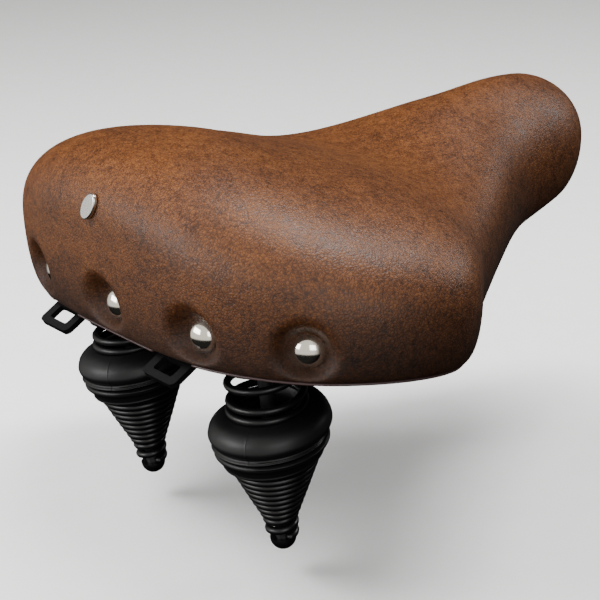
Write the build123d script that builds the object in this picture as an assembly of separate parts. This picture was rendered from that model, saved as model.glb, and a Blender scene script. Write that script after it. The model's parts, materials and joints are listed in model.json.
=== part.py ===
from build123d import *

import os
from math import cos, pi, radians, sin

# Sprung bicycle saddle: a padded top on a moulded pan, hinged to its rails at the nose and carried
# at the back on two conical springs.  Millimetres.  +Y points to the nose, +X to the rider's
# right, +Z up.  The origin is midway between the rails, at the middle of their straight length.

# cushion: right half of the hem outline, evenly spaced along it from the back to the nose
OUTLINE_X = (0, 58.2, 100.9, 115.2, 83.0, 51.3, 28.8, 18.5, 0)
OUTLINE_Y = (-124.1, -119.6, -93.7, -49.6, -10.0, 35.2, 73.5, 110.3, 125)
HEM_HEIGHT = (30.4, 30.2, 25, 34, 43.9)
BULGE = (5.6, 4.7, 6.6, 6.4, 11.7)
BULGE_RISE = (46.2, 19.7, 23.3, 22.8, 21.8)
DOME_POWER = (2.5, 2.5, 2.8, 2.2, 2.0)
SPINE_HEIGHT = (103.8, 91.1, 79.5, 91.1, 95.7)
SPINE_BACK = -85.7
SPINE_NOSE = 97.1
SKIN = 2.0
SKIN_GAP = 0.4
COVER_POCKET_TOP = 50.0

# base pan
PAN_INSET = 6.0
PAN_WALL = 3.0
PAN_BOTTOM = 10.0
PAN_TOP = 59.0
PAN_CEILING = 56.0
LIP_GAP = 0.25
RIB_PLACES = (-46.0, 36.0)
RIB_THICK = 3.0
RIB_DEPTH = 8.0
NOSE_NOTCH = (76.0, 114.0)

# edge trim under the hem, in two lengths
TRIM_HEIGHT = 1.3
TRIM_GAP = 0.5
TRIM_OUTER = 0.8
TRIM_INNER = 7.0

# rivets along the back, by their place along the outline
RIVET_PLACES = (0.0, 0.114, 0.222)
RIVET_HEAD_R = 6.3
RIVET_HEAD_H = 3.4
RIVET_FLANGE = 0.8
RIVET_FLANGE_R = 6.8
RIVET_SHANK_R = 2.0
RIVET_SEAT = 2.4
RIVET_RISE = 11.0
RIVET_HOLE_R = 2.2
RIVET_TAIL = 1.6
RIVET_TAIL_R = 3.0
RIVET_POCKET_R = (7.1, 13.3)
RIVET_POCKET_DEPTH = 14.0
RIVET_WASHER_R = 4.5
RIVET_WASHER_THICK = 1.0

# bag loops
LOOP_X = 38.2
LOOP_WIDTH = 21.0
LOOP_LENGTH = 13.4
LOOP_THICK = 2.4
LOOP_GAP = 0.5
LOOP_CORNER = 2.6
LOOP_SLOT_CORNER = 1.2
LOOP_SLOT = (12.4, 6.4)
LOOP_SLOT_EDGE = 3.2
LOOP_END_Y = -129.4
LOOP_END_Z = 22.7
LOOP_DROOP = 29.0
LOOP_BEND_Y = -118.8
LOOP_STEM_Y = -110.6
LOOP_FOOT_END = -104.4
LOOP_STEM_WIDTH = 12.0
LOOP_SCREW_Y = -106.7

# badge stud on the back of the cover
BADGE_HEIGHT = 82.7
BADGE_WIDTH = 7.4
BADGE_LENGTH = 12.4
BADGE_THICK = 1.4
BADGE_TURN = -36.0

# springs, along an axis that leans forward and inward going down; local zero is the widest turn
AXIS_X = 48.7
AXIS_Y = -85.6
AXIS_Z = -5.8
LEAN = 5.2
TOE_IN = 1.4
WIRE_R = 1.6
WIRE_POINTS = 12
SPRING_TURNS = (0, 2, 11, 13, 14, 15, 16, 17)
SPRING_R = (5.2, 5.9, 17.3, 19.5, 15.6, 14.8, 14.8, 14.8)
SPRING_Z = (-50.4, -41.4, -14.2, -1.2, 6.0, 10.8, 19.6, 27.4)
BAND_R = 25.0
BAND_WIDEST_Z = 0.5
BAND_TOP_Z = 8.0
BAND_BOTTOM_Z = -6.0
BAND_BORE_R = 13.8
BAND_FOOT_R = 21.8
LOWER_BAND_R = 22.5
LOWER_BAND_BOTTOM_Z = -12.4
LOWER_BAND_FOOT_R = 18.5
LOWER_BAND_EDGE = (22.1, -9.8)
TIP_R = 5.4
TIP_Z = -52.3
TIP_FACE_Z = -52.05
ROD_BOTTOM_Z = -55.5
ROD_TOP_GAP = 0.6

# hardware on the spring axis
ROD_R = 3.0
EYE_R = 9.0
EYE_BOTTOM_Z = 33.1
EYE_TOP_Z = 39.1
WASHER_THICK = 1.6
RING_R = 18.0
RING_HOLE_R = 6.0
RING_THICK = 2.2
NUT_HEIGHT = 4.0
NUT_ACROSS = 10.0
BORE_GAP = 0.05
WASHER_GAP = 0.1
BUMP_HEIGHT = 6.0
BUMP_R = 8.0
FLANGE_SIZE = (47.4, 24.0)
FLANGE_SCREW_X = 20.6
RING_GAP = 0.1
LEG_WIDTH = 20.0
LEG_THICK = 2.2
LEG_X = 16.2

# rails: each wire runs from its eye on the spring axis, down to the clamp length, up to the hinge
RAIL_R = 3.5
RAIL_SPACING = 44.0
CLAMP_LENGTH = 52.0
RAIL_EYE_START = (0.0, 8.2, 0.6)
RAIL_EYE_BEND = (0.0, 26.0, 2.0)
RAIL_BACK_BEND = 6.0
RAIL_FRONT_BEND = 4.0
RAIL_RISE_END = (6.6, -16.0, -1.5)
RAIL_END = (5.6, -2.0, 0.0)
RAIL_BEND_RADII = (12, 14, 16, 9)

# nose hinge, on an axis along X
PIVOT_Y = 95.0
PIVOT_Z = 42.0
SLEEVE_R = 6.0
SLEEVE_BORE_R = 4.1
SLEEVE_HALF = 9.0
BUSH_R = 4.05
BUSH_BORE_R = 3.05
BUSH_START = 0.5
FLANGE_THICK = 0.8
PIN_R = 3.0
PIN_HEAD_R = 5.0
PIN_HEAD_THICK = 1.6
PIN_TAIL = 2.0
GROOVE_R = 2.4
GROOVE = (0.3, 1.1)
CLIP_BORE_R = 2.45
CLIP = (0.35, 1.05)
CLIP_MOUTH = 3.0
EAR_INNER_X = 10.0
EAR_THICK = 2.0
EAR_R = 7.5
BRACKET_THICK = 2.0
NOSE_PLATE_LENGTH = 36.0
NOSE_PLATE_SHIFT = -3.0
NOSE_SCREW_Y = (-16.0, 11.0)
SCREW_HEAD_R = 3.0
SCREW_HEAD_H = 2.2
SCREW_R = 1.6
SCREW_GRIP = 2.5

SLICES = 19
SLICE_POINTS = 15
OUTLINE_STEPS = 24
HALVINGS = 30
CROWDING = 1.4
END_CAP = 0.5
FLOOR_SHARE = 0.8
FAR = 300.0


def curve(values, place, end=1):
    """Smooth curve through evenly spaced values, mirrored past its ends: end is -1 for an odd one."""
    if place < 0 or place > 1:
        return end * curve(values, -place if place < 0 else 2 - place, end)
    last = len(values) - 1
    run = place * last
    i = min(int(run), last - 1)
    f = run - i
    before = values[i - 1] if i else end * values[1]
    start, stop = values[i], values[i + 1]
    after = values[i + 2] if i + 2 <= last else end * values[last - 1]
    bend = 2 * before - 5 * start + 4 * stop - after
    twist = 3 * (start - stop) + after - before
    return start + 0.5 * f * (stop - before + f * (bend + f * twist))


def hem(place, inset=0.0):
    """A point of the hem outline, moved in by inset, and the outline's outward normal."""
    step = 1e-3
    dx = curve(OUTLINE_X, place + step, -1) - curve(OUTLINE_X, place - step, -1)
    dy = curve(OUTLINE_Y, place + step) - curve(OUTLINE_Y, place - step)
    out = Vector(dy, -dx).normalized()
    point = Vector(curve(OUTLINE_X, place, -1), curve(OUTLINE_Y, place)) - out * inset
    return point, out


def skin_point(level, place, inset):
    """A point of the cushion's surface: level runs from 0 on top to 1 at the bulge and 2 at the hem."""
    low, out = hem(place)
    wide = low + out * (curve(BULGE, place) - inset)
    floor = curve(HEM_HEIGHT, place) + inset
    rise = curve(BULGE_RISE, place) - inset
    if level > 1:
        angle = (level - 1) * pi / 2
        spot = wide + (low - wide) * (1 - cos(angle))
        return Vector(spot.X, spot.Y, floor + rise * (1 - sin(angle)))
    along = (low.Y - OUTLINE_Y[0]) / (OUTLINE_Y[-1] - OUTLINE_Y[0])
    spine_y = SPINE_BACK + (SPINE_NOSE - SPINE_BACK) * along
    top = curve(SPINE_HEIGHT, along) - inset
    power = curve(DOME_POWER, place)
    angle = level ** CROWDING * pi / 2
    across = sin(angle) ** (2 / power)
    up = abs(cos(angle)) ** (2 / power)
    y = spine_y + (wide.Y - spine_y) * across
    return Vector(wide.X * across, y, floor + rise + (top - floor - rise) * up)


def solve(function, low, high):
    """Where a rising function passes zero, by halving."""
    for _ in range(HALVINGS):
        middle = (low + high) / 2
        if function(middle) < 0:
            low = middle
        else:
            high = middle
    return (low + high) / 2


def slice_levels(y, inset):
    """First and last level that the upright plane at y cuts."""
    end = 0 if y < 0 else 1
    toward = 1 if y > 0 else -1

    def short_of(level):
        return toward * (skin_point(level, end, inset).Y - y)

    first = solve(short_of, 0, 1) if short_of(0) < 0 else 0
    last = 1 + solve(lambda rest: -short_of(1 + rest), 0, 1) if short_of(2) < 0 else 2
    return first, last


def slice_face(y, inset):
    """The cushion's cross-section at y, as a flat face."""
    first, last = slice_levels(y, inset)
    points = []
    for k in range(SLICE_POINTS):
        level = first + (last - first) * (1 - cos(pi * k / (SLICE_POINTS - 1))) / 2
        place = solve(lambda at: skin_point(level, at, inset).Y - y, 0, 1)
        spot = skin_point(level, place, inset)
        points.append(Vector(spot.X, y, spot.Z))
    points[0].X = 0
    points[-1].X = max(points[-1].X, FLOOR_SHARE * points[-2].X)
    edge = Spline(*points)
    floor = Line(points[-1], (-points[-1].X, y, points[-1].Z))
    return make_face([edge, floor, mirror(edge, Plane.YZ)])


def cushion(inset):
    """Closed solid of the cushion's outside, moved in by inset all round."""
    back = skin_point(1, 0, inset).Y + END_CAP
    nose = skin_point(1, 1, inset).Y - END_CAP
    middle = (back + nose) / 2
    half = (nose - back) / 2
    slices = [
        slice_face(middle - half * cos(pi * (i / (SLICES - 1))), inset)
        for i in range(SLICES)
    ]
    return loft(slices)


def outline_steps():
    """Evenly spaced places along the outline, ends included."""
    return [i / OUTLINE_STEPS for i in range(OUTLINE_STEPS + 1)]


def outline_face(inset):
    """Flat face inside the hem outline, moved in by inset."""
    right = [hem(place, inset)[0] for place in outline_steps()]
    edge = Spline(*right, tangents=[(1, 0, 0), (-1, 0, 0)])
    return make_face([edge, mirror(edge, Plane.YZ)])


def outline_prism(inset, bottom, top):
    """Upright solid with the outline's shape."""
    return Pos(0, 0, bottom) * extrude(outline_face(inset), top - bottom)


def hem_slab(top, bottom=-FAR):
    """Everything between two heights measured from the hem line, seen from the side."""
    line = [Vector(0, curve(OUTLINE_Y, at), curve(HEM_HEIGHT, at)) for at in outline_steps()]
    line = [Vector(0, -FAR, line[0].Z)] + line + [Vector(0, FAR, line[-1].Z)]
    upper = [spot + Vector(0, 0, top) for spot in line]
    lower = [spot + Vector(0, 0, bottom) for spot in reversed(line)]
    profile = Polyline(*upper, *lower, close=True)
    return extrude(make_face(profile), FAR, both=True)


def disc(radius, bottom, top):
    """Upright cylinder between two heights."""
    return Pos(0, 0, bottom) * Cylinder(radius, top - bottom, align=(Align.CENTER, Align.CENTER, Align.MIN))


def ring(outer, inner, bottom, top):
    """Upright tube between two heights."""
    return disc(outer, bottom, top) - disc(inner, bottom - 1, top + 1)


def spring_axis(side):
    """Place of a spring: the axis leans back and outward going up."""
    lean, toe = radians(LEAN), radians(TOE_IN)
    up = Vector(side * sin(toe), -sin(lean) * cos(toe), cos(lean) * cos(toe))
    origin = Vector(side * AXIS_X, AXIS_Y, AXIS_Z)
    return Plane(origin=origin, x_dir=Vector(1, 0, 0), z_dir=up).location


def on_axis(side, height):
    """A point of a spring axis, in the saddle's frame."""
    return (spring_axis(side) * Pos(0, 0, height)).position


def under_pan(side):
    """The point where a spring axis meets the pan."""
    return on_axis(side, PAN_CEILING - AXIS_Z)


# ---- cushion ----


def rivet_place(place):
    """Seat of a rivet: a frame whose +Z points out of the cushion, at the bottom of its dimple."""
    side = -1 if place < 0 else 1
    spot, out = hem(abs(place), PAN_INSET - RIVET_SEAT)
    origin = Vector(side * spot.X, spot.Y, curve(HEM_HEIGHT, abs(place)) + RIVET_RISE)
    outward = Vector(side * out.X, out.Y, 0)
    return Plane(origin=origin, x_dir=Vector(0, 0, 1), z_dir=outward).location


def rivet_places():
    """Every rivet's signed place, from the rider's left to the right."""
    centre, inner, outer = RIVET_PLACES
    return {
        "left_outer": -outer,
        "left_inner": -inner,
        "centre": centre,
        "right_inner": inner,
        "right_outer": outer,
    }


def rivet_holes():
    """Holes for the shanks, with a round pocket where each head sits in its dimple."""
    hole = disc(RIVET_HOLE_R, -PAN_INSET - PAN_WALL, 1)
    pocket = Cone(*RIVET_POCKET_R, RIVET_POCKET_DEPTH, align=(Align.CENTER, Align.CENTER, Align.MIN))
    return [rivet_place(place) * (hole + pocket) for place in rivet_places().values()]


def make_cover(holes):
    """Leather skin, open underneath, with a lip that wraps under the hem."""
    hollow = cushion(SKIN) + outline_prism(PAN_INSET - LIP_GAP, 0, COVER_POCKET_TOP)
    return cushion(0) - hollow - holes


def make_foam(holes):
    """Foam pad, moulded over the pan."""
    pocket = outline_prism(PAN_INSET - LIP_GAP, 0, PAN_TOP)
    return cushion(SKIN + SKIN_GAP) - pocket - holes


def make_pan(holes):
    """Moulded pan: a flat plate with a deep rim that follows the hem, and two cross ribs."""
    body = outline_prism(PAN_INSET, PAN_BOTTOM, PAN_TOP)
    inside = outline_prism(PAN_INSET + PAN_WALL, 0, PAN_CEILING)
    ribs = [
        inside & Pos(0, y, PAN_CEILING - RIB_DEPTH / 2) * Box(FAR, RIB_THICK, RIB_DEPTH)
        for y in RIB_PLACES
    ]
    notch_back, notch_front = NOSE_NOTCH
    notch = Pos(0, (notch_back + notch_front) / 2, 0) * Box(FAR, notch_front - notch_back, 2 * PAN_CEILING)
    return body - inside + ribs - hem_slab(0) - notch - holes


def make_trims():
    """Edge band that closes the hem: the short length between the bag loops, then the long one."""
    band = outline_prism(TRIM_OUTER, 0, PAN_TOP) - outline_prism(TRIM_INNER, -1, PAN_TOP + 1)
    width = LOOP_WIDTH + 2 * LOOP_GAP
    notches = [Pos(side * LOOP_X, OUTLINE_Y[0], 0) * Box(width, width, FAR) for side in (-1, 1)]
    band = (band & hem_slab(-TRIM_GAP, -TRIM_GAP - TRIM_HEIGHT)) - notches
    return band.solids().sort_by(SortBy.VOLUME)


def make_rivet():
    """Domed rivet with a thin flange; local zero is the face that the flange sits on."""
    sphere_r = (RIVET_HEAD_R ** 2 + RIVET_HEAD_H ** 2) / (2 * RIVET_HEAD_H)
    dome = Pos(0, 0, RIVET_HEAD_H - sphere_r) * Sphere(sphere_r)
    dome = dome & disc(RIVET_HEAD_R, 0, RIVET_HEAD_H + 1)
    flange = disc(RIVET_FLANGE_R, 0, RIVET_FLANGE)
    shank = disc(RIVET_SHANK_R, -rivet_grip() - RIVET_TAIL, RIVET_FLANGE)
    tail = disc(RIVET_TAIL_R, -rivet_grip() - RIVET_TAIL, -rivet_grip())
    return Pos(0, 0, RIVET_FLANGE) * dome + flange + shank + tail


def rivet_grip():
    """Distance from a rivet's flange to the far side of its washer."""
    return RIVET_SEAT + PAN_WALL + LIP_GAP + RIVET_WASHER_THICK


def make_rivet_washers():
    """Washers inside the pan's rim, one to a rivet."""
    inner = RIVET_SHANK_R + WASHER_GAP
    washer = ring(RIVET_WASHER_R, inner, -rivet_grip(), RIVET_WASHER_THICK - rivet_grip())
    return [rivet_place(place) * washer for place in rivet_places().values()]


# ---- bag loops ----


def loop_screw_spot(side):
    """Where the loop's foot is screwed to the pan."""
    return Vector(side * LOOP_X, LOOP_SCREW_Y, PAN_CEILING - LOOP_THICK)


def make_loop(side):
    """Plastic loop: a drooping plate with a strap slot, a stem up inside the rim and a foot."""
    thick = LOOP_THICK
    plate = Box(LOOP_WIDTH, LOOP_LENGTH, thick, align=(Align.CENTER, Align.MIN, Align.CENTER))
    plate = fillet(plate.edges().filter_by(Axis.Z).group_by(Axis.Y)[0], LOOP_CORNER)
    slot = Pos(0, LOOP_SLOT_EDGE + LOOP_SLOT[1] / 2, 0) * Box(*LOOP_SLOT, 4 * thick)
    slot = fillet(slot.edges().filter_by(Axis.Z), LOOP_SLOT_CORNER)
    plate = Pos(0, LOOP_END_Y, LOOP_END_Z) * Rot(LOOP_DROOP, 0, 0) * (plate - slot)
    drop = sin(radians(LOOP_DROOP)) * LOOP_LENGTH
    low = LOOP_END_Z + drop - thick
    beam_length = LOOP_STEM_Y - LOOP_BEND_Y
    beam = Pos(0, LOOP_STEM_Y - beam_length / 2, low + thick / 2) * Box(LOOP_STEM_WIDTH, beam_length, thick)
    height = PAN_CEILING - low
    stem = Pos(0, LOOP_STEM_Y, low + height / 2) * Box(LOOP_STEM_WIDTH, thick, height)
    foot_length = LOOP_FOOT_END - LOOP_STEM_Y
    foot = Pos(0, LOOP_STEM_Y + foot_length / 2, PAN_CEILING - thick / 2)
    foot = foot * Box(LOOP_STEM_WIDTH, foot_length, thick)
    return Pos(side * LOOP_X, 0, 0) * (plate + beam + stem + foot)


# ---- springs ----


def wire_point(turn):
    """Centre of the wire after so many turns up from the tip."""
    steps = zip(SPRING_TURNS, SPRING_TURNS[1:])
    i = next((i for i, (_, stop) in enumerate(steps) if turn < stop), len(SPRING_TURNS) - 2)
    part = (turn - SPRING_TURNS[i]) / (SPRING_TURNS[i + 1] - SPRING_TURNS[i])
    radius = SPRING_R[i] + part * (SPRING_R[i + 1] - SPRING_R[i])
    height = SPRING_Z[i] + part * (SPRING_Z[i + 1] - SPRING_Z[i])
    return Vector(radius * cos(2 * pi * turn), radius * sin(2 * pi * turn), height)


def make_spring():
    """Wire from the tip up: close cone turns, wide turns inside the bands, open turns on top."""
    count = SPRING_TURNS[-1] * WIRE_POINTS
    path = Spline(*[wire_point(k / WIRE_POINTS) for k in range(count + 1)])
    profile = Plane(origin=path @ 0, z_dir=path % 0) * Circle(WIRE_R)
    return sweep(profile, path=path, is_frenet=True)


def make_upper_band():
    """Moulded ring round the widest turns, rounded outside."""
    foot = (BAND_FOOT_R, BAND_BOTTOM_Z)
    top = (BAND_BORE_R, BAND_TOP_Z)
    outside = Spline(top, (BAND_R, BAND_WIDEST_Z), foot, tangents=[(1, 0.1), (-0.5, -1)])
    closing = Polyline(foot, (BAND_BORE_R, BAND_BOTTOM_Z), top)
    return revolve(Plane.XZ * make_face([outside, closing]), Axis.Z)


def make_lower_band():
    """Moulded ring below the upper one, drawn in towards the cone."""
    top = BAND_BOTTOM_Z - LIP_GAP
    profile = Polyline(
        (BAND_BORE_R, top),
        (LOWER_BAND_R, top),
        LOWER_BAND_EDGE,
        (LOWER_BAND_FOOT_R, LOWER_BAND_BOTTOM_Z),
        (BAND_BORE_R, LOWER_BAND_BOTTOM_Z),
        close=True,
    )
    return revolve(Plane.XZ * make_face(profile), Axis.Z)


def make_tip_cap():
    """Round-ended cap nut that the bottom turn stands on; the rod is screwed into it."""
    dome = Pos(0, 0, TIP_Z) * Sphere(TIP_R) - disc(TIP_R + 1, TIP_Z, TIP_Z + FAR)
    return dome + disc(TIP_R, TIP_Z, TIP_FACE_Z) - disc(ROD_R, ROD_BOTTOM_Z, 0)


def make_rod():
    """Tension rod from the cap nut up through the spring and the rail's eye."""
    return disc(ROD_R, ROD_BOTTOM_Z, EYE_TOP_Z + NUT_HEIGHT + ROD_TOP_GAP)


def make_nut():
    """Thin lock nut on the rod's top end."""
    body = extrude(RegularPolygon(NUT_ACROSS / 2, 6, major_radius=False), NUT_HEIGHT)
    return Pos(0, 0, EYE_TOP_Z) * (body - disc(ROD_R, -1, NUT_HEIGHT + 1))


def make_rebound_washer():
    """Rubber washer between the rail's eye and the spring's ring plate."""
    return ring(EYE_R - 1, ROD_R + WASHER_GAP, EYE_BOTTOM_Z - WASHER_THICK, EYE_BOTTOM_Z)


def make_spring_bracket(side):
    """Steel stirrup under the pan: two legs beside the rail's eye carry the spring's top ring."""
    ring_top = EYE_BOTTOM_Z - WASHER_THICK - RING_GAP
    plate = ring(RING_R, RING_HOLE_R, ring_top - RING_THICK, ring_top)
    reach = 2 * PAN_CEILING
    legs = [
        Pos(x, 0, ring_top - RING_THICK + reach / 2) * Box(LEG_THICK, LEG_WIDTH, reach)
        for x in (-LEG_X, LEG_X)
    ]
    top = under_pan(side)
    flange = Pos(top.X, top.Y, PAN_CEILING - BRACKET_THICK / 2) * Box(*FLANGE_SIZE, BRACKET_THICK)
    below_pan = Pos(top.X, top.Y, 0) * Box(FAR, FAR, 2 * PAN_CEILING)
    return (spring_axis(side) * (plate + legs) & below_pan) + flange


def bracket_screw_spots(side):
    """Where the bracket's two screws go into the pan."""
    top = under_pan(side)
    height = PAN_CEILING - BRACKET_THICK
    return [Vector(top.X + x, top.Y, height) for x in (-FLANGE_SCREW_X, FLANGE_SCREW_X)]


def screw(spot):
    """Screw driven up into the pan from a spot on a bracket's underside."""
    head = disc(SCREW_HEAD_R, -SCREW_HEAD_H, 0)
    shank = disc(SCREW_R, -SCREW_HEAD_H, BRACKET_THICK + SCREW_GRIP)
    return Pos(*spot) * (head + shank)


def make_bump_stop(side):
    """Rubber pad under the pan, which the rod's nut meets at full travel."""
    top = under_pan(side)
    height = PAN_CEILING - BRACKET_THICK
    return Pos(top.X, top.Y, 0) * disc(BUMP_R, height - BUMP_HEIGHT, height)


# ---- rails and nose hinge ----


def rail_path(side):
    """Centre line of a rail, from its eye to the hinge sleeve."""
    eye = on_axis(side, (EYE_BOTTOM_Z + EYE_TOP_Z) / 2)
    pivot = Vector(0, PIVOT_Y, PIVOT_Z)
    half = CLAMP_LENGTH / 2
    x = side * RAIL_SPACING / 2
    rise_x, rise_y, rise_z = RAIL_RISE_END
    end_x, end_y, end_z = RAIL_END
    return FilletPolyline(
        eye + Vector(*RAIL_EYE_START),
        eye + Vector(*RAIL_EYE_BEND),
        (x, -half - RAIL_BACK_BEND, 0),
        (x, half + RAIL_FRONT_BEND, 0),
        pivot + Vector(side * rise_x, rise_y, rise_z),
        pivot + Vector(side * end_x, end_y, end_z),
        radius=list(RAIL_BEND_RADII),
    )


def make_rail(side):
    """Bent rail wire with a flat eye at its back end, on the spring axis."""
    path = rail_path(side)
    wire = sweep(Plane(origin=path @ 0, z_dir=path % 0) * Circle(RAIL_R), path=path)
    eye = spring_axis(side) * disc(EYE_R, EYE_BOTTOM_Z, EYE_TOP_Z)
    bore = spring_axis(side) * disc(ROD_R + BORE_GAP, EYE_BOTTOM_Z - 1, EYE_TOP_Z + 1)
    return wire - cross(SLEEVE_R, -PIVOT_Y, PIVOT_Y) + eye - bore


def cross(radius, low, high):
    """Cylinder along X on the hinge axis, between two X values."""
    return Pos((low + high) / 2, PIVOT_Y, PIVOT_Z) * Rot(0, 90, 0) * Cylinder(radius, high - low)


def make_sleeve():
    """Cross tube between the rails' front ends."""
    return cross(SLEEVE_R, -SLEEVE_HALF, SLEEVE_HALF) - cross(SLEEVE_BORE_R, -PIVOT_Y, PIVOT_Y)


def make_bush(side):
    """Flanged nylon bush in one end of the sleeve."""
    flange = cross(SLEEVE_R, SLEEVE_HALF, SLEEVE_HALF + FLANGE_THICK)
    bush = cross(BUSH_R, BUSH_START, SLEEVE_HALF) + flange - cross(BUSH_BORE_R, -PIVOT_Y, PIVOT_Y)
    return bush if side > 0 else mirror(bush, Plane.YZ)


def make_pin():
    """Hinge pin with a head on the left and a clip groove on the right."""
    outside = EAR_INNER_X + EAR_THICK
    low, high = GROOVE
    groove = cross(PIN_R + 1, outside + low, outside + high) - cross(GROOVE_R, 0, PIVOT_Y)
    head = cross(PIN_HEAD_R, -outside - PIN_HEAD_THICK, -outside)
    return cross(PIN_R, -outside, outside + PIN_TAIL) - groove + head


def make_clip():
    """Retaining clip in the pin's groove."""
    outside = EAR_INNER_X + EAR_THICK
    low, high = CLIP
    clip = cross(PIN_HEAD_R, outside + low, outside + high) - cross(CLIP_BORE_R, 0, PIVOT_Y)
    mouth = Pos(outside, PIVOT_Y, PIVOT_Z - PIN_HEAD_R) * Box(4 * high, CLIP_MOUTH, 2 * PIN_HEAD_R)
    return clip - mouth


def make_nose_bracket():
    """Steel channel under the nose of the pan, with an ear each side of the sleeve."""
    width = 2 * (EAR_INNER_X + EAR_THICK)
    high = PAN_CEILING - BRACKET_THICK
    plate = Box(width, NOSE_PLATE_LENGTH, BRACKET_THICK)
    plate = Pos(0, PIVOT_Y + NOSE_PLATE_SHIFT, high + BRACKET_THICK / 2) * plate
    ears = []
    for side in (-1, 1):
        x = side * (EAR_INNER_X + EAR_THICK / 2)
        web = Pos(x, PIVOT_Y, (high + PIVOT_Z) / 2) * Box(EAR_THICK, 2 * EAR_R, high - PIVOT_Z)
        ears.append(web + cross(EAR_R, x - EAR_THICK / 2, x + EAR_THICK / 2))
    return plate + ears - cross(BUSH_BORE_R, -PIVOT_Y, PIVOT_Y)


def nose_screw_spots():
    """Where the nose bracket's two screws go into the pan."""
    return [Vector(0, PIVOT_Y + y, PAN_CEILING - BRACKET_THICK) for y in NOSE_SCREW_Y]


# ---- badge ----


def make_badge():
    """Plain oval stud on the back of the cover."""
    level = solve(lambda at: BADGE_HEIGHT - skin_point(at, 0, 0).Z, 0, 1)
    spot = skin_point(level, 0, 0)
    down = skin_point(level + 0.02, 0, 0) - skin_point(level - 0.02, 0, 0)
    seat = Plane(origin=spot, x_dir=Vector(1, 0, 0), z_dir=Vector(0, down.Z, -down.Y)).location
    body = extrude(Ellipse(BADGE_WIDTH / 2, BADGE_LENGTH / 2), BADGE_THICK)
    rounded = fillet(body.edges().group_by(Axis.Z)[-1], BADGE_THICK / 2)
    return seat * Pos(0, 0, LIP_GAP) * Rot(0, 0, BADGE_TURN) * rounded


# ---- assembly ----


def side_word(side):
    """The side's word, seen by the rider."""
    return "right" if side > 0 else "left"


def build():
    """Every node's shape."""
    holes = rivet_holes()
    spots = nose_screw_spots()
    for side in (-1, 1):
        spots += bracket_screw_spots(side) + [loop_screw_spot(side)]
    screws = [screw(spot) for spot in spots]
    trim_back, trim_long = make_trims()
    nodes = {
        "cover": make_cover(holes),
        "foam_pad": make_foam(holes),
        "base_pan": make_pan(holes) - screws,
        "edge_trim": trim_long,
        "edge_trim_back": trim_back,
        "nose_bracket": make_nose_bracket() - screws,
        "pivot_pin": make_pin(),
        "pin_clip": make_clip(),
        "nose_sleeve": make_sleeve(),
        "bracket_screws": Compound(children=screws),
        "badge_stud": make_badge(),
        "rivet_washers": Compound(children=make_rivet_washers()),
    }
    for name, place in rivet_places().items():
        nodes[f"rivet_{name}"] = rivet_place(place) * make_rivet()
    for side in (-1, 1):
        axis = spring_axis(side)
        word = side_word(side)
        nodes[f"bag_loop_{word}"] = make_loop(side) - screws
        nodes[f"spring_{word}"] = axis * make_spring()
        nodes[f"upper_band_{word}"] = axis * make_upper_band()
        nodes[f"lower_band_{word}"] = axis * make_lower_band()
        nodes[f"tip_cap_{word}"] = axis * make_tip_cap()
        nodes[f"tension_rod_{word}"] = axis * make_rod()
        nodes[f"lock_nut_{word}"] = axis * make_nut()
        nodes[f"rebound_washer_{word}"] = axis * make_rebound_washer()
        nodes[f"spring_bracket_{word}"] = make_spring_bracket(side) - screws
        nodes[f"bump_stop_{word}"] = make_bump_stop(side)
        nodes[f"rail_{word}"] = make_rail(side)
        nodes[f"nose_bush_{word}"] = make_bush(side)
    return nodes


os.makedirs("parts", exist_ok=True)
for node, shape in build().items():
    export_step(shape, f"parts/{node}.step")
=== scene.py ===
import json
import math

import bmesh
import bpy
import numpy as np
from mathutils import Matrix, Vector


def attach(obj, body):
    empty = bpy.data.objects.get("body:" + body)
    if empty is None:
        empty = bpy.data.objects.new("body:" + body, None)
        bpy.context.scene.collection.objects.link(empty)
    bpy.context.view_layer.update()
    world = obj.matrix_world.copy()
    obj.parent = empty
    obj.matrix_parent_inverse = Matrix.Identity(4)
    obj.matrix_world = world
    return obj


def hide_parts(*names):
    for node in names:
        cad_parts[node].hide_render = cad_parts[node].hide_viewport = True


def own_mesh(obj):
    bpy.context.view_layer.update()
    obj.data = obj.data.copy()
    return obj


# Looks for the sprung bicycle saddle.  The frame is in metres: +Y to the nose, +X to the rider's
# right, +Z up, with the origin between the rails.  Shape numbers are in millimetres until a mesh
# is made from them.
MM = 0.001

# cushion, as the CAD builds it
OUTLINE_X = (0, 58.2, 100.9, 115.2, 83.0, 51.3, 28.8, 18.5, 0)
OUTLINE_Y = (-124.1, -119.6, -93.7, -49.6, -10.0, 35.2, 73.5, 110.3, 125)
HEM_HEIGHT = (30.4, 30.2, 25, 34, 43.9)
BULGE = (5.6, 4.7, 6.6, 6.4, 11.7)
BULGE_RISE = (46.2, 19.7, 23.3, 22.8, 21.8)
DOME_POWER = (2.5, 2.5, 2.8, 2.2, 2.0)
SPINE_HEIGHT = (103.8, 91.1, 79.5, 91.1, 95.7)
SPINE_BACK = -85.7
SPINE_NOSE = 97.1
SPINE_SOFT = 10.0
SPINE_CREASE_MAX = 0.5
CROWDING = 1.4
SKIN = 2.0
FOAM_INSET = 2.4
LIP_INSET = 5.75
POCKET_TOP = 59.0

# how finely the soft pieces are divided
COVER_PLACES = 440
COVER_LEVELS = 150
LINING_LEVELS = 60
FOAM_PLACES = 220
FOAM_LEVELS = 70
TRIM_STEPS = 400
TRIM_LEAST = 24

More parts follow.
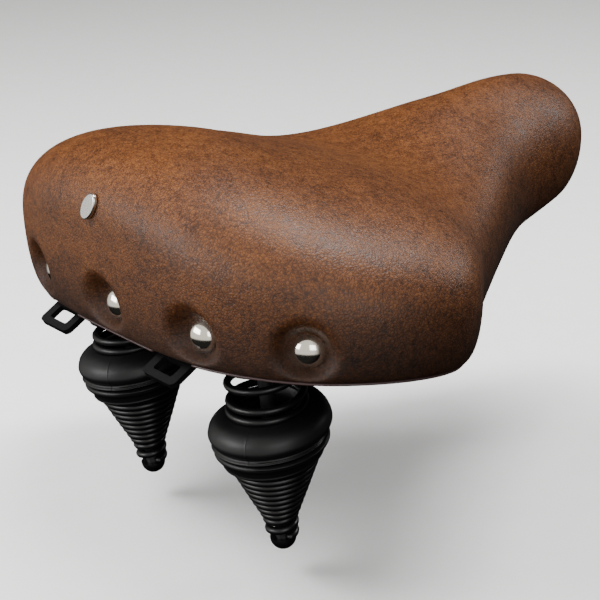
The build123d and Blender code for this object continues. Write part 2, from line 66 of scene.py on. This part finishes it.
# rivets and their dimples
RIVET_PLACES = {"left_outer": -0.222, "left_inner": -0.114, "centre": 0.0,
                "right_inner": 0.114, "right_outer": 0.222}
RIVET_INSET = 3.6
RIVET_RISE = 11.0
FLANGE_R = 6.6
DIMPLE_SIDE = 14.5
DIMPLE_UP = 16.0
DIMPLE_DOWN = 11.0
DIMPLE_MARGIN = 0.3
DIMPLE_FADE = 1.2
DIMPLE_REACH = 30.0
RIVET_PROFILE = ((0, 4.2), (1.2, 4.13), (2.4, 3.9), (3.6, 3.47), (4.6, 2.9), (5.4, 2.2), (6.1, 1.3),
                 (6.4, 0.7), (6.5, 0.5), (FLANGE_R, 0.35), (FLANGE_R, 0.1), (6.5, 0.0), (2.0, 0.0),
                 (2.0, -9.0), (0, -9.0))

# the cover's edge and the edge band: distance in from the hem and height above it, round the section
LIP_PROFILE = ((0.25, 0.25), (0.9, 0.0), (5.45, 0.0), (LIP_INSET, 0.3), (LIP_INSET, SKIN))
TRIM_PROFILE = ((7.0, -0.12), (0.5, -0.12), (0.05, -0.3), (-0.15, -0.7), (0.05, -1.15), (0.6, -1.4),
                (7.0, -1.4))
TRIM_BACK = 0.056
TRIM_START = 0.106

# springs: local zero is the widest turn, and the axis leans
AXIS_X = 48.7
AXIS_Y = -85.6
AXIS_Z = -5.8
LEAN = math.radians(5.2)
TOE_IN = math.radians(1.4)
WIRE_R = 1.6
SPRING_TURNS = (0, 2, 11, 13, 14, 15, 16, 17, 17.5)
SPRING_R = (5.2, 5.9, 17.3, 19.5, 16.2, 15.0, 14.8, 14.8, 14.8)
SPRING_Z = (-50.4, -41.4, -14.2, -1.2, 5.8, 9.5, 13.9, 23.4, 27.4)
WIRE_END = ((0.0, -1.0), (0.6, -0.8), (0.9, -0.45))
UPPER_BAND = ((13.8, 7.0), (15.6, 7.9), (18.4, 7.7), (21.4, 6.4), (23.7, 4.0), (24.8, 1.0), (24.7, -0.8),
              (23.8, -2.4), (22.9, -3.2), (22.6, -4.0), (22.5, -4.9), (22.2, -5.7), (20.0, -6.0),
              (13.8, -6.0))
LOWER_BAND = ((13.8, -6.2), (21.2, -6.2), (22.9, -6.6), (23.3, -7.8), (22.7, -9.0), (21.6, -10.0),
              (20.9, -11.4), (20.2, -13.0), (19.3, -14.4), (18.0, -15.2), (13.8, -15.2))
BAND_PITCH = 7.0
BAND_START = math.radians(143)
BAND_STEPS = 150
BAND_CORE = 2.5
BAND_TAPER = 0.09
BAND_THIN = 0.25
BAND_SEAM = 0.435
SEAM_WIDTH = 0.0025
SEAM_SIZE = 0.22
RIDGE_FADE = 0.05
UPPER_RIDGES = ((-4.7, 1.0, 1.5, 0.02, 0.50), (-3.6, 0.4, 0.7, 0.44, 0.72), (-5.0, 0.4, 0.7, 0.44, 0.70))
LOWER_RIDGES = ((-6.9, 0.4, 0.6, 0.44, 0.70), (-13.4, 0.5, 0.5, 0.10, 0.90))
WIRE_STEPS = 44
WIRE_SIDES = 14

# camera that matches the photograph
CAMERA_AT = (0.4980, -0.4191, 0.2535)
CAMERA_AZIMUTH = 52.0
CAMERA_ELEVATION = 20.4
CAMERA_ROLL = -2.4
CAMERA_LENS = 93.8
FLOOR_Z = -0.075
FLOOR_HALF = 12.0
BACKDROP = 0.75

# sky: its colour, the height at which it begins, its strength below that, and its brighter side
SKY_COLOUR = (1.0, 0.965, 0.92, 1)
SKY_HEIGHT = (-0.42, -0.34)
SKY_BELOW = 0.02
SKY_SIDE = (0.05, -0.99, 0.10)
SKY_FACING = (-0.15, 0.45)
SKY_STRENGTH = (0.05, 0.85)

# lights: name, place, aim, size, power, and whether shiny pieces mirror it
LIGHTS = (
    ("key", (-0.50, -0.62, 1.00), (0.0, -0.04, 0.06), (0.7, 0.7), 24, False),
    ("strip", (0.15, 0.16, 1.10), (0.08, -0.07, 0.08), (0.28, 0.7), 15, True),
    ("edge", (0.40, 1.00, 0.60), (0.0, 0.05, 0.05), (0.5, 0.4), 5, True),
    ("back", (-0.40, -1.20, 0.30), (0.03, -0.10, 0.06), (0.9, 0.5), 9, True),
    ("fill", (1.00, -0.55, 0.30), (0.08, -0.06, 0.05), (0.6, 0.5), 3, True),
)

# leather: colour stops for the mottling, the fine cracks and the painted shade on the lower edge
LEATHER_TONES = ((0.38, (0.034, 0.0115, 0.0038)), (0.49, (0.096, 0.0305, 0.0070)),
                 (0.62, (0.160, 0.056, 0.0120)))
LEATHER_CRACKS = ((0.0, (0.42, 0.40, 0.40)), (0.14, (1, 1, 1)))
LEATHER_LOW_SHADE = ((0.0, (0.26, 0.25, 0.27)), (1.0, (1, 1, 1)))
LEATHER_WARP = (0.002, 0.002, 0.002)
LEATHER_SHINE = 0.42
# the band of height over which the painted lower-edge shade and the extra roughness fade out; how much
# glossier the top is
SHADE_AND_ROUGH_HEIGHT = (0.028, 0.066)
HEIGHT_GLOSS = -0.16

# the other looks
FLOOR_COLOUR = (0.93, 0.93, 0.93)
BROAD_GRAIN = 70.0
BUMP_DEPTH = 0.0004
COAT_ROUGHNESS = 0.2
LOOP_BEVEL = 0.0004
LOOP_BEVEL_STEPS = 2

# slot, colour, roughness and what differs from plain plastic
PAINTS = (
    ("foam", (0.55, 0.50, 0.40), 0.95, {"bump": 0.3}),
    ("pan_plastic", (0.022, 0.021, 0.020), 0.55, {"bump": 0.15}),
    ("trim", (0.060, 0.035, 0.036), 0.40, {"bump": 0.05}),
    ("black_steel", (0.012, 0.012, 0.013), 0.38, {"coat": 0.3}),
    ("zinc_steel", (0.55, 0.55, 0.56), 0.32, {"metal": 1.0}),
    ("rivet_chrome", (0.96, 0.91, 0.81), 0.12, {"metal": 1.0, "spread": 0.03}),
    ("stud_metal", (0.78, 0.77, 0.75), 0.25, {"metal": 1.0, "spread": 0.03}),
    ("loop_plastic", (0.004, 0.004, 0.0045), 0.42, {"shine": 0.25}),
    ("spring_steel", (0.004, 0.004, 0.0045), 0.32, {"shine": 0.4}),
    ("band_elastomer", (0.005, 0.005, 0.0055), 0.42, {"bump": 0.03, "shine": 0.4}),
    ("rubber", (0.02, 0.02, 0.02), 0.7, {"bump": 0.1}),
    ("nylon", (0.70, 0.69, 0.65), 0.4, {}),
)


# ---- shapes ----


def curve(values, place, end=1):
    """Smooth curve through evenly spaced values, mirrored past its ends: end is -1 for an odd one."""
    place = np.asarray(place, float)
    sign = np.where((place < 0) | (place > 1), end, 1)
    place = np.abs(place)
    place = np.where(place > 1, 2 - place, place)
    last = len(values) - 1
    table = np.array([end * values[1], *values, end * values[last - 1]], float)
    cell = np.minimum((place * last).astype(int), last - 1)
    f = place * last - cell
    before, start, stop, after = (table[cell + k] for k in range(4))
    bend = 2 * before - 5 * start + 4 * stop - after
    twist = 3 * (start - stop) + after - before
    return sign * (start + 0.5 * f * (stop - before + f * (bend + f * twist)))


def hem(place, inset=0.0):
    """Hem outline points and outward normals. A negative place is on the rider's left."""
    side = np.where(np.asarray(place) < 0, -1.0, 1.0)
    place = np.abs(place)
    step = 1e-3
    dx = curve(OUTLINE_X, place + step, -1) - curve(OUTLINE_X, place - step, -1)
    dy = curve(OUTLINE_Y, place + step) - curve(OUTLINE_Y, place - step)
    size = np.hypot(dx, dy)
    out = np.stack([side * dy / size, -dx / size], -1)
    at = np.stack([side * curve(OUTLINE_X, place, -1), curve(OUTLINE_Y, place)], -1)
    return at - out * np.asarray(inset)[..., None], out


def skin(level, place, inset):
    """Cushion surface: level runs from 0 on top to 1 at the bulge and 2 at the hem."""
    level, place = np.broadcast_arrays(level, place)
    side = np.abs(place)
    low, out = hem(place)
    wide = low + out * (curve(BULGE, side) - inset)[..., None]
    floor = curve(HEM_HEIGHT, side) + inset
    rise = curve(BULGE_RISE, side) - inset
    tuck = (np.clip(level, 1, 2) - 1) * math.pi / 2
    under = wide + (low - wide) * (1 - np.cos(tuck))[..., None]
    under_z = floor + rise * (1 - np.sin(tuck))
    along = (low[..., 1] - OUTLINE_Y[0]) / (OUTLINE_Y[-1] - OUTLINE_Y[0])
    spine_y = SPINE_BACK + (SPINE_NOSE - SPINE_BACK) * along
    top = curve(SPINE_HEIGHT, along) - inset
    power = curve(DOME_POWER, side)
    angle = np.clip(level, 0, 1) ** CROWDING * math.pi / 2
    across = np.sin(angle) ** (2 / power)
    up = np.abs(np.cos(angle)) ** (2 / power)
    dome_y = spine_y + (wide[..., 1] - spine_y) * across
    dome_z = floor + rise + (top - floor - rise) * up
    step = 1e-3
    slope = (curve(SPINE_HEIGHT, along + step) - curve(SPINE_HEIGHT, along - step)) / (2 * step)
    slope = slope / (SPINE_NOSE - SPINE_BACK)
    reach = np.maximum(np.abs(wide[..., 0]), 1)
    crease = -slope * (wide[..., 1] - spine_y) / reach
    crease = np.clip(crease, -SPINE_CREASE_MAX, SPINE_CREASE_MAX)
    off = reach * across
    dome_z = dome_z - crease * (off - np.hypot(off, SPINE_SOFT) + SPINE_SOFT) * (1 - across) ** 2
    dome = np.stack([wide[..., 0] * across, dome_y, dome_z], -1)
    tucked = np.concatenate([under, under_z[..., None]], -1)
    return np.where((level > 1)[..., None], tucked, dome)


def rivet_seat(place):
    """Centre of a rivet's seat and the direction it faces."""
    at, out = hem(np.array([place]), np.array([RIVET_INSET]))
    height = curve(HEM_HEIGHT, abs(place)) + RIVET_RISE
    return np.array([*at[0], height]), np.array([*out[0], 0.0])


def dimple(points, depth):
    """Pulls the surface in round each rivet, to depth behind its seat."""
    for place in RIVET_PLACES.values():
        seat, out = rivet_seat(place)
        across = np.array([-out[1], out[0], 0.0])
        rel = points - seat
        w = rel @ out + depth
        u = rel @ across
        v = rel[..., 2]
        reach_v = np.where(v > 0, DIMPLE_UP, DIMPLE_DOWN)
        flat = FLANGE_R + DIMPLE_MARGIN
        r = np.hypot(u, v)
        angle = np.arctan2(v, u)
        reach = 1 / np.sqrt((np.cos(angle) / DIMPLE_SIDE) ** 2 + (np.sin(angle) / reach_v) ** 2)
        t = np.clip((r - flat) / np.maximum(reach - flat, 1e-6), 0, 1)
        pull = (1 - t) ** 2 * (1 + 2 * t) * np.exp(-DIMPLE_FADE * t)
        pull = np.where(np.abs(w) < DIMPLE_REACH, pull, 0)
        points = points - (w * pull)[..., None] * out
    return points


def mesh_object(name, points, faces):
    """A smooth-shaded mesh from millimetre points."""
    mesh = bpy.data.meshes.new(name)
    mesh.from_pydata((np.asarray(points) * MM).tolist(), [], faces)
    mesh.validate()
    mesh.shade_smooth()
    made = bpy.data.objects.new(name, mesh)
    bpy.context.scene.collection.objects.link(made)
    return made


def grid_faces(rows, columns):
    """Quads between rings of points, each ring closed."""
    faces = []
    for i in range(rows - 1):
        low, high = i * columns, (i + 1) * columns
        for j in range(columns):
            k = (j + 1) % columns
            faces.append((low + j, low + k, high + k, high + j))
    return faces


def end_faces(rows, columns):
    """Caps for the first and last ring of a grid."""
    return [tuple(range(columns))[::-1], tuple(range((rows - 1) * columns, rows * columns))]


def zipped(name, rows):
    """Closed mesh from rings whose first and last fold flat; points that meet are joined."""
    count = rows[0].shape[0]
    made = mesh_object(name, np.concatenate(rows), grid_faces(len(rows), count))
    work = bmesh.new()
    work.from_mesh(made.data)
    bmesh.ops.remove_doubles(work, verts=work.verts, dist=2e-6)
    bmesh.ops.recalc_face_normals(work, faces=work.faces)
    work.to_mesh(made.data)
    work.free()
    made.data.shade_smooth()
    return made


def ring_places(count):
    """Places round the whole outline, nose to nose."""
    return np.arange(count) / count * 2 - 1


def hem_row(place, inset, height):
    """Points along the hem, moved in by inset and up by height."""
    at, _ = hem(place, np.full(len(place), inset))
    up = curve(HEM_HEIGHT, np.abs(place)) + height
    return np.concatenate([at, up[:, None]], 1)


def make_cover():
    """Leather skin with dimples at the rivets, wrapped under the hem."""
    place = ring_places(COVER_PLACES)
    outer = [dimple(skin(np.full(1, s), place, 0.0), 0.0) for s in np.linspace(0, 2, COVER_LEVELS)]
    edge = [hem_row(place, inset, height) for inset, height in LIP_PROFILE]
    inner = [dimple(skin(np.full(1, s), place, SKIN), SKIN) for s in np.linspace(2, 0, LINING_LEVELS)]
    return zipped("leather_cover", outer[:-1] + edge + inner)


def make_trim(name, low, high):
    """Edge band under the hem between two places along the outline."""
    steps = max(TRIM_LEAST, int(abs(high - low) * TRIM_STEPS))
    place = np.linspace(low, high, steps)
    place = np.where(place > 1, place - 2, place)
    rows = [hem_row(place, inset, height) for inset, height in TRIM_PROFILE]
    count = len(rows)
    faces = grid_faces(steps, count) + end_faces(steps, count)
    return mesh_object(name, np.stack(rows, 1).reshape(-1, 3), faces)


def make_foam():
    """Foam pad under the skin, hollow where the pan fits."""
    place = ring_places(FOAM_PLACES)
    levels = np.linspace(0, 2, FOAM_LEVELS)
    rows = [dimple(skin(np.full(1, s), place, FOAM_INSET), FOAM_INSET) for s in levels]
    rows.append(hem_row(place, LIP_INSET, FOAM_INSET))
    wall = hem_row(place, LIP_INSET, 0.0)
    wall[:, 2] = POCKET_TOP
    middle = skin(np.full(1, 0.0), place, 0.0)
    middle[:, 2] = POCKET_TOP
    return zipped("foam_padding", rows + [wall, middle])


def lathe(name, profile, turns=64):
    """Turned shape about local Z from (radius, height) pairs that start and end on the axis."""
    angle = np.arange(turns) / turns * 2 * math.pi
    round_z = np.stack([np.cos(angle), np.sin(angle), np.zeros(turns)], 1)
    return zipped(name, [radius * round_z + (0, 0, height) for radius, height in profile])


def helical_band(name, profile, ridges=(), seam=None):
    """One turn of moulded sleeve that climbs with the wire and tapers into it at both ends.

    A ridge is (height, width, size, first turn, last turn); the seam is a thin line up the profile.
    """
    turn = np.linspace(0, 1, BAND_STEPS)
    if seam:
        turn = np.sort(np.concatenate([turn, [seam - SEAM_WIDTH, seam, seam + SEAM_WIDTH]]))
    middle_r = min(r for r, _ in profile) + BAND_CORE
    middle_z = sum(h for _, h in profile) / len(profile)
    rows = []
    for t in turn:
        end = min(min(t, 1 - t) / BAND_TAPER, 1)
        share = BAND_THIN + (1 - BAND_THIN) * math.sqrt(1 - (1 - end) ** 2)
        ring = []
        for radius, height in profile:
            r = middle_r + (radius - middle_r) * share
            h = middle_z + (height - middle_z) * share
            outside = min(max((radius - middle_r) / 2, 0), 1)
            for centre, width, size, first, last in ridges:
                inside = min(max(min(t - first, last - t) / RIDGE_FADE, 0), 1)
                r += size * inside * outside * math.exp(-((height - centre) / width) ** 2)
            if t == seam:
                r += SEAM_SIZE * outside
            a = BAND_START + t * 2 * math.pi
            ring.append((r * math.cos(a), r * math.sin(a), h + BAND_PITCH * (t - 0.5)))
        rows.append(ring)
    count = len(profile)
    faces = grid_faces(len(rows), count) + end_faces(len(rows), count)
    return mesh_object(name, np.array(rows).reshape(-1, 3), faces)


def smooth_profile(points, steps=6):
    """Catmull-Rom through profile points."""
    spots = [points[0], *points, points[-1]]
    made = []
    for a, b, c, d in zip(spots, spots[1:], spots[2:], spots[3:]):
        for k in range(steps):
            f = k / steps
            made.append(tuple(
                0.5 * (2 * q + f * (r - p + f * (2 * p - 5 * q + 4 * r - s + f * (3 * (q - r) + s - p))))
                for p, q, r, s in zip(a, b, c, d)))
    made.append(tuple(points[-1]))
    return made


def spring_axis(side):
    """Matrix of a spring's axis, in metres."""
    flat = math.cos(TOE_IN)
    up = Vector((side * math.sin(TOE_IN), -math.sin(LEAN) * flat, math.cos(LEAN) * flat))
    across = Vector((1, 0, 0)) - up * up.x
    across.normalize()
    turn = Matrix((across, up.cross(across), up)).transposed().to_4x4()
    return Matrix.Translation(Vector((side * AXIS_X, AXIS_Y, AXIS_Z)) * MM) @ turn


def make_wire(name):
    """Spring wire as one smooth tube with rounded ends."""
    turn = np.linspace(SPRING_TURNS[0], SPRING_TURNS[-1], int(SPRING_TURNS[-1] * WIRE_STEPS) + 1)
    radius = np.interp(turn, SPRING_TURNS, SPRING_R)
    height = np.interp(turn, SPRING_TURNS, SPRING_Z)
    angle = turn * 2 * math.pi
    line = np.stack([radius * np.cos(angle), radius * np.sin(angle), height], 1)
    along = np.gradient(line, axis=0)
    along /= np.linalg.norm(along, axis=1)[:, None]
    outward = np.stack([np.cos(angle), np.sin(angle), np.zeros_like(angle)], 1)
    outward -= along * (outward * along).sum(1)[:, None]
    outward /= np.linalg.norm(outward, axis=1)[:, None]
    binormal = np.cross(along, outward)
    stations = [(0, share, shift) for share, shift in WIRE_END]
    stations += [(k, 1.0, 0.0) for k in range(len(line))]
    stations += [(len(line) - 1, share, -shift) for share, shift in reversed(WIRE_END)]
    a = np.arange(WIRE_SIDES) / WIRE_SIDES * 2 * math.pi
    rows = []
    for k, share, shift in stations:
        ring = outward[k] * np.cos(a)[:, None] + binormal[k] * np.sin(a)[:, None]
        rows.append(line[k] + along[k] * shift * WIRE_R + ring * WIRE_R * share)
    return zipped(name, rows)


# ---- materials ----


def node(tree, kind, inputs=None, **settings):
    """Adds a shader node; an input is a value or another node's socket."""
    made = tree.nodes.new(kind)
    for key, value in settings.items():
        setattr(made, key, value)
    for key, value in (inputs or {}).items():
        if isinstance(value, bpy.types.NodeSocket):
            tree.links.new(value, made.inputs[key])
        else:
            made.inputs[key].default_value = value
    return made


def ramp(tree, factor, stops):
    """Colour ramp from (position, colour) stops."""
    made = node(tree, "ShaderNodeValToRGB", {"Fac": factor})
    items = made.color_ramp.elements
    while len(items) < len(stops):
        items.new(0.5)
    for item, (position, colour) in zip(items, stops):
        item.position = position
        item.color = (*colour, 1.0)
    return made.outputs["Color"]


def noise(tree, place, scale, detail, roughness=0.5):
    """Noise texture: its outputs."""
    inputs = {"Vector": place, "Scale": scale, "Detail": detail, "Roughness": roughness}
    return node(tree, "ShaderNodeTexNoise", inputs).outputs


def cells(tree, place, scale):
    """Distance from the nearest edge in a pattern of cells."""
    inputs = {"Vector": place, "Scale": scale}
    return node(tree, "ShaderNodeTexVoronoi", inputs, feature="DISTANCE_TO_EDGE").outputs["Distance"]


def weigh(tree, value, factor, plus=0.0):
    """A value times a factor, plus another value."""
    inputs = {0: value, 1: factor, 2: plus}
    return node(tree, "ShaderNodeMath", inputs, operation="MULTIPLY_ADD").outputs["Value"]


def remap(tree, value, source, target, **settings):
    """Takes a value from one range to another, and holds it at the ends."""
    inputs = {"Value": value, "From Min": source[0], "From Max": source[1],
              "To Min": target[0], "To Max": target[1]}
    return node(tree, "ShaderNodeMapRange", inputs, **settings).outputs["Result"]


def wash(tree, colour, over):
    """One colour multiplied by another."""
    inputs = {0: 1.0, 6: colour, 7: over}
    return node(tree, "ShaderNodeMix", inputs, data_type="RGBA", blend_type="MULTIPLY").outputs[2]


def start_material(name):
    """An empty node material: its tree, its shader and its coordinates."""
    made = bpy.data.materials.new(name)
    made.use_nodes = True
    tree = made.node_tree
    tree.nodes.clear()
    shader = node(tree, "ShaderNodeBsdfPrincipled")
    node(tree, "ShaderNodeOutputMaterial", {"Surface": shader.outputs["BSDF"]})
    place = node(tree, "ShaderNodeTexCoord").outputs["Object"]
    return made, tree, shader, place


def link_surface(tree, shader, colour, roughness, relief, strength, depth):
    """Gives a shader its colour, its roughness and its bumps."""
    bumps = node(tree, "ShaderNodeBump", {"Height": relief, "Strength": strength, "Distance": depth})
    tree.links.new(colour, shader.inputs["Base Color"])
    tree.links.new(roughness, shader.inputs["Roughness"])
    tree.links.new(bumps.outputs["Normal"], shader.inputs["Normal"])


def plain_material(name, colour, roughness, metal=0.0, grain=900.0, bump=0.02, spread=0.12,
                   coat=0.0, shine=0.5):
    """Paint, plastic, rubber or plated metal, with a little procedural wear."""
    made, tree, shader, place = start_material(name)
    fine = noise(tree, place, grain, 3.0)["Fac"]
    broad = noise(tree, place, BROAD_GRAIN, 4.0)["Fac"]
    dark = tuple(c * (1 - spread) for c in colour)
    light = tuple(min(1.0, c * (1 + spread)) for c in colour)
    tint = ramp(tree, broad, [(0.3, dark), (0.7, light)])
    rough = remap(tree, broad, (0.0, 1.0), (max(0.02, roughness - 0.06), min(1.0, roughness + 0.08)))
    link_surface(tree, shader, tint, rough, fine, bump, BUMP_DEPTH)
    shader.inputs["Metallic"].default_value = metal
    shader.inputs["Specular IOR Level"].default_value = shine
    shader.inputs["Coat Weight"].default_value = coat
    shader.inputs["Coat Roughness"].default_value = COAT_ROUGHNESS
    return made


def leather_material():
    """Aged brown leather: fine cracked grain, soft mottling, and painted shade that darkens the lower
    edge, which is also rougher.
    """
    made, tree, shader, place = start_material("aged_leather")
    warp = noise(tree, place, 260.0, 3.0)["Color"]
    shift = node(tree, "ShaderNodeVectorMath", {0: warp, 1: LEATHER_WARP}, operation="MULTIPLY")
    spot = node(tree, "ShaderNodeVectorMath", {0: place, 1: shift.outputs["Vector"]}, operation="ADD")
    spot = spot.outputs["Vector"]
    broad = noise(tree, place, 28.0, 4.0, 0.55)["Fac"]
    blotch = noise(tree, spot, 190.0, 6.0, 0.72)["Fac"]
    speck = noise(tree, spot, 700.0, 4.0, 0.7)["Fac"]
    crack = cells(tree, spot, 820.0)
    fold = cells(tree, spot, 240.0)
    mixed = weigh(tree, speck, 0.50, weigh(tree, blotch, 0.30, weigh(tree, broad, 0.20)))
    tint = wash(tree, ramp(tree, mixed, LEATHER_TONES), ramp(tree, crack, LEATHER_CRACKS))
    # painted shade: the colour is darkened towards the hem by height, where the lower sides face down
    # into shade; the same height share makes the lower leather rougher
    height = node(tree, "ShaderNodeSeparateXYZ", {0: place}).outputs["Z"]
    level = remap(tree, height, SHADE_AND_ROUGH_HEIGHT, (0.0, 1.0), interpolation_type="SMOOTHSTEP")
    painted_low_shade = wash(tree, tint, ramp(tree, level, LEATHER_LOW_SHADE))
    rough = weigh(tree, level, HEIGHT_GLOSS, remap(tree, blotch, (0.3, 0.7), (0.57, 0.71)))
    relief = weigh(tree, speck, 0.5, weigh(tree, fold, 0.45, weigh(tree, crack, 0.7)))
    link_surface(tree, shader, painted_low_shade, rough, relief, 0.34, 2 * BUMP_DEPTH)
    shader.inputs["Specular IOR Level"].default_value = LEATHER_SHINE
    return made


# ---- scene ----


def look_matrix():
    """Camera rotation from azimuth, elevation and roll."""
    a, e, r = (math.radians(v) for v in (CAMERA_AZIMUTH, CAMERA_ELEVATION, CAMERA_ROLL))
    back = Vector((math.sin(a) * math.cos(e), -math.cos(a) * math.cos(e), math.sin(e)))
    right = Vector((0, 0, 1)).cross(back).normalized()
    up = back.cross(right)
    across = right * math.cos(r) + up * math.sin(r)
    down = right * math.sin(r) - up * math.cos(r)
    return Matrix((across, -down, back)).transposed().to_4x4()


def make_camera():
    """Camera at the photograph's angle."""
    lens = bpy.data.cameras.new("camera")
    lens.lens = CAMERA_LENS
    lens.sensor_width = 36
    lens.clip_start = 0.01
    made = bpy.data.objects.new("camera", lens)
    made.matrix_world = Matrix.Translation(CAMERA_AT) @ look_matrix()
    bpy.context.scene.collection.objects.link(made)
    bpy.context.scene.camera = made


def make_floor():
    """Pale floor that takes shadows but adds no light of its own."""
    sides = ((-1, -1), (1, -1), (1, 1), (-1, 1))
    mesh = bpy.data.meshes.new("floor")
    mesh.from_pydata([(x * FLOOR_HALF, y * FLOOR_HALF, FLOOR_Z) for x, y in sides], [], [(0, 1, 2, 3)])
    floor = bpy.data.objects.new("floor", mesh)
    bpy.context.scene.collection.objects.link(floor)
    floor.data.materials.append(plain_material("pale_floor", FLOOR_COLOUR, 0.7, bump=0.0, spread=0.01))
    floor.visible_diffuse = False
    floor.visible_glossy = False


def make_sky():
    """Soft light from behind the saddle and above; the camera sees an even backdrop."""
    world = bpy.data.worlds.new("studio")
    world.use_nodes = True
    tree = world.node_tree
    way = node(tree, "ShaderNodeTexCoord").outputs["Generated"]
    height = node(tree, "ShaderNodeSeparateXYZ", {0: way}).outputs["Z"]
    above = remap(tree, height, SKY_HEIGHT, (SKY_BELOW, 1.0))
    facing = node(tree, "ShaderNodeVectorMath", {0: way, 1: SKY_SIDE}, operation="DOT_PRODUCT")
    side = remap(tree, facing.outputs["Value"], SKY_FACING, SKY_STRENGTH)
    seen = node(tree, "ShaderNodeLightPath").outputs["Is Camera Ray"]
    shown = node(tree, "ShaderNodeMix", {"Factor": seen, 2: weigh(tree, above, side), 3: BACKDROP})
    tree.links.new(shown.outputs["Result"], tree.nodes["Background"].inputs["Strength"])
    tree.nodes["Background"].inputs["Color"].default_value = SKY_COLOUR
    bpy.context.scene.world = world


def make_light(name, at, aim, size, power, shine):
    """A soft box that points at a spot."""
    lamp = bpy.data.lights.new(name, "AREA")
    lamp.shape = "RECTANGLE"
    lamp.size, lamp.size_y = size
    lamp.energy = power
    made = bpy.data.objects.new(name, lamp)
    made.location = at
    made.visible_glossy = shine
    made.rotation_euler = (Vector(aim) - Vector(at)).to_track_quat("-Z", "Y").to_euler()
    bpy.context.scene.collection.objects.link(made)


with open("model.json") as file:
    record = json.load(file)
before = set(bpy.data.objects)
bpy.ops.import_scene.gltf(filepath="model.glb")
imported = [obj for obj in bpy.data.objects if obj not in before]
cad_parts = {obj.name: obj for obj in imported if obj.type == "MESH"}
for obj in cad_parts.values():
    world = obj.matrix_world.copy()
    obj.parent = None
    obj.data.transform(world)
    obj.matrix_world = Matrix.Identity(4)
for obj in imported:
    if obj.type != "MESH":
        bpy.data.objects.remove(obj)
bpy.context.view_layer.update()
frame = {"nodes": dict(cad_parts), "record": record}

paint = {"leather": leather_material()}
for slot, colour, roughness, extra in PAINTS:
    paint[slot] = plain_material(slot, colour, roughness, **extra)
slots = {entry["node"]: entry["material_slot"] for entry in frame["record"]["subparts"]}
for name, made in frame["nodes"].items():
    made.data.materials.clear()
    made.data.materials.append(paint[slots[name]])

for word in ("left", "right"):
    soft = frame["nodes"]["bag_loop_" + word].modifiers.new("soft_edges", "BEVEL")
    soft.width = LOOP_BEVEL
    soft.segments = LOOP_BEVEL_STEPS
    soft.limit_method = "ANGLE"


def place_piece(made, body, slot, *nodes):
    """Gives a new piece the material of its slot and its body, and hides the CAD nodes it stands for."""
    made.data.materials.append(paint[slot])
    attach(made, body)
    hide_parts(*nodes)


cover = make_cover()
place_piece(cover, "seat", "leather", "cover")
foam = make_foam()
place_piece(foam, "seat", "foam", "foam_pad")

back_trim = make_trim("edge_band_back", -TRIM_BACK, TRIM_BACK)
place_piece(back_trim, "seat", "trim", "edge_trim_back")
long_trim = make_trim("edge_band", TRIM_START, 2 - TRIM_START)
place_piece(long_trim, "seat", "trim", "edge_trim")

for name, place in RIVET_PLACES.items():
    rivet = lathe("rivet_dome_" + name, RIVET_PROFILE)
    seat, out = rivet_seat(place)
    z = Vector(out)
    x = Vector((0, 0, 1))
    turn = Matrix((x, z.cross(x), z)).transposed().to_4x4()
    rivet.matrix_world = Matrix.Translation(Vector(seat) * MM) @ turn
    place_piece(rivet, "seat", "rivet_chrome", "rivet_" + name)

for side, word in ((-1, "left"), (1, "right")):
    axis = spring_axis(side)
    wire = make_wire("spring_wire_" + word)
    wide = helical_band("wide_band_" + word, smooth_profile(UPPER_BAND), UPPER_RIDGES, BAND_SEAM)
    cone = helical_band("cone_band_" + word, smooth_profile(LOWER_BAND), LOWER_RIDGES)
    pieces = ((wire, "spring_steel", "spring_" + word),
              (wide, "band_elastomer", "upper_band_" + word),
              (cone, "band_elastomer", "lower_band_" + word))
    for made, slot, replaced in pieces:
        made.matrix_world = axis
        place_piece(made, "rail_frame", slot, replaced)
        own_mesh(made)

make_camera()
make_floor()
make_sky()
for light in LIGHTS:
    make_light(*light)
